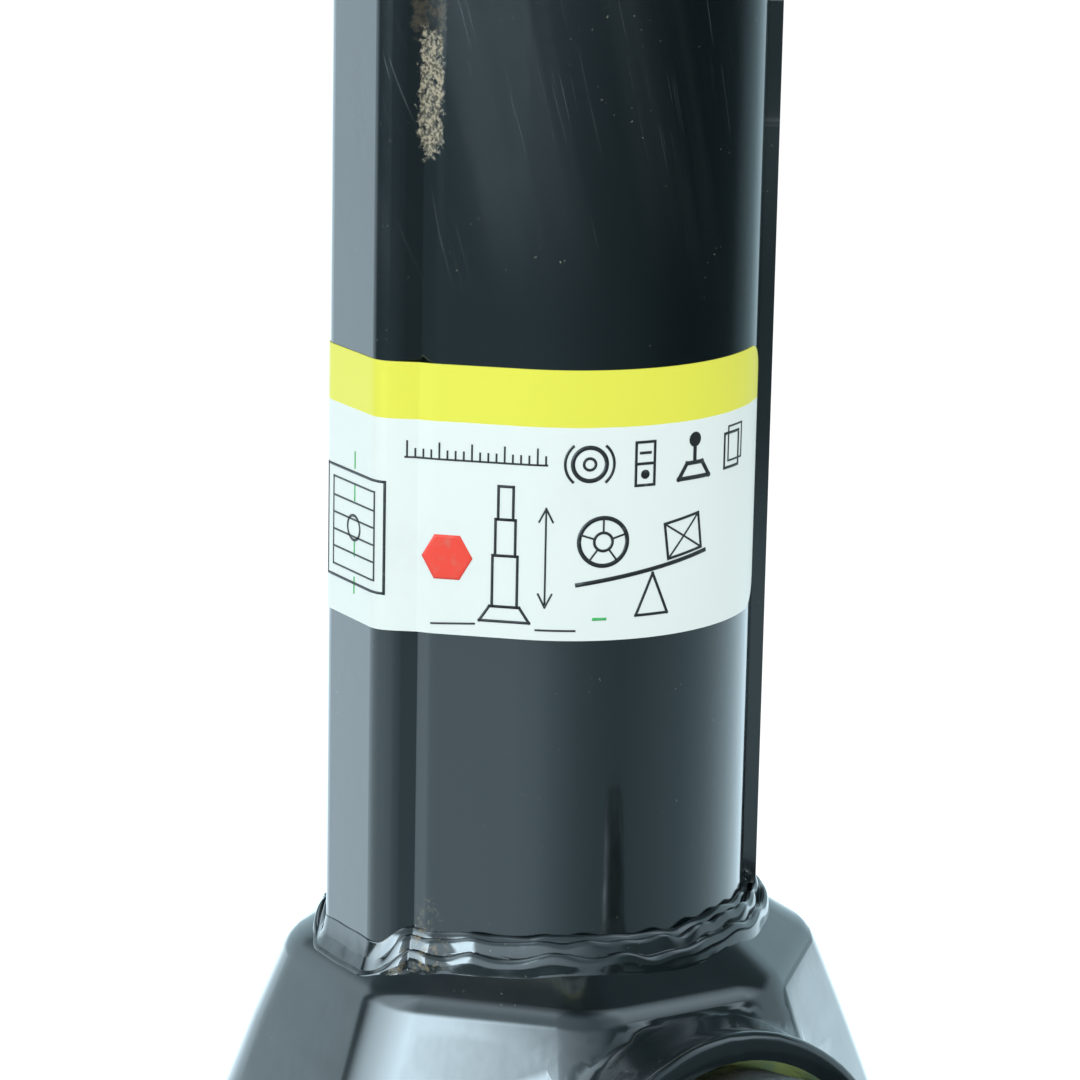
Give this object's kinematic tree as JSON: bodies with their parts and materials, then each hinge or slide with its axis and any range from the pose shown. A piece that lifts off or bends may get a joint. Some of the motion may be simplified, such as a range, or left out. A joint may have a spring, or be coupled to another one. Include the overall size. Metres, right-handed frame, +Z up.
{
  "type": "telescopic screw bottle jack",
  "caption": "Crank-driven telescopic screw jack: round tube with a flat key face on a pressed dome and foot plate, ring-eye drive and flat ribbed saddle.",
  "frame": {"origin": "centre of the foot plate's underside, on the screw axis", "axes": "+Z up along the screw, -Y along the drive boss in plan, -X through the key face"},
  "size_m": [0.126, 0.1711, 0.2052],
  "materials": {
    "paint_black": "gloss",
    "stage_paint": "satin",
    "saddle_iron": "satin",
    "forged_steel": "satin",
    "bush_yellow_zinc": "satin",
    "rivet_steel": "satin",
    "bare_steel": "satin",
    "gear_steel": "satin",
    "greased_steel": "gloss",
    "bearing_steel": "gloss",
    "cage_brass": "satin",
    "nut_iron": "matte"
  },
  "bodies": {
    "housing": {"base_plate": "paint_black", "base_rivets": "rivet_steel", "gear_housing": "paint_black", "body_tube": "paint_black", "neck_weld": "paint_black", "drive_bush": "bush_yellow_zinc", "thrust_race_lower": "bearing_steel"},
    "drive": {"drive_shaft": "forged_steel", "bevel_pinion": "gear_steel", "pinion_pin": "bare_steel", "drive_washer": "bare_steel"},
    "spindle_body": {"spindle": "greased_steel", "crown_gear": "gear_steel", "crown_pin": "bare_steel", "spindle_stop": "bare_steel", "stop_pin": "bare_steel", "thrust_race_upper": "bearing_steel"},
    "ball_ring": {"thrust_balls": "bearing_steel", "ball_cage": "cage_brass"},
    "lower_stage": {"middle_tube": "stage_paint", "carrier_ring": "bare_steel", "carrier_pins": "bare_steel"},
    "screw_body": {"hollow_screw": "greased_steel", "screw_retainer": "bare_steel", "screw_stop": "bare_steel"},
    "upper_stage": {"inner_tube": "stage_paint", "lift_nut": "nut_iron", "nut_pins": "bare_steel", "saddle": "saddle_iron", "saddle_pins": "bare_steel"}
  },
  "joints": [
    {"name": "drive_spin", "type": "hinge", "parent": "housing", "child": "drive", "pos_m": [0, 0, 0.0294], "axis": [0, 0.9848, -0.1736], "range_deg": [0, 36960]},
    {"name": "spindle_spin", "type": "hinge", "parent": "housing", "child": "spindle_body", "pos_m": [0, 0, 0], "axis": [0, 0, -1], "range_deg": [0, 15120]},
    {"name": "ball_ring_spin", "type": "hinge", "parent": "housing", "child": "ball_ring", "pos_m": [0, 0, 0], "axis": [0, 0, -1], "range_deg": [0, 7560]},
    {"name": "lower_lift", "type": "slide", "parent": "housing", "child": "lower_stage", "axis": [0, 0, 1], "range_m": [0, 0.105]},
    {"name": "screw_spin", "type": "hinge", "parent": "lower_stage", "child": "screw_body", "pos_m": [0, 0, 0], "axis": [0, 0, -1], "range_deg": [0, 7560]},
    {"name": "upper_lift", "type": "slide", "parent": "lower_stage", "child": "upper_stage", "axis": [0, 0, 1], "range_m": [0, 0.105]}
  ],
  "couplings": [
    {"joint": "drive_spin", "follows": "lower_lift", "rad_per_m": 6143.6},
    {"joint": "spindle_spin", "follows": "lower_lift", "rad_per_m": 2513.3},
    {"joint": "ball_ring_spin", "follows": "lower_lift", "rad_per_m": 1256.6},
    {"joint": "screw_spin", "follows": "lower_lift", "rad_per_m": 1256.6},
    {"joint": "upper_lift", "follows": "lower_lift", "ratio": 1}
  ]
}
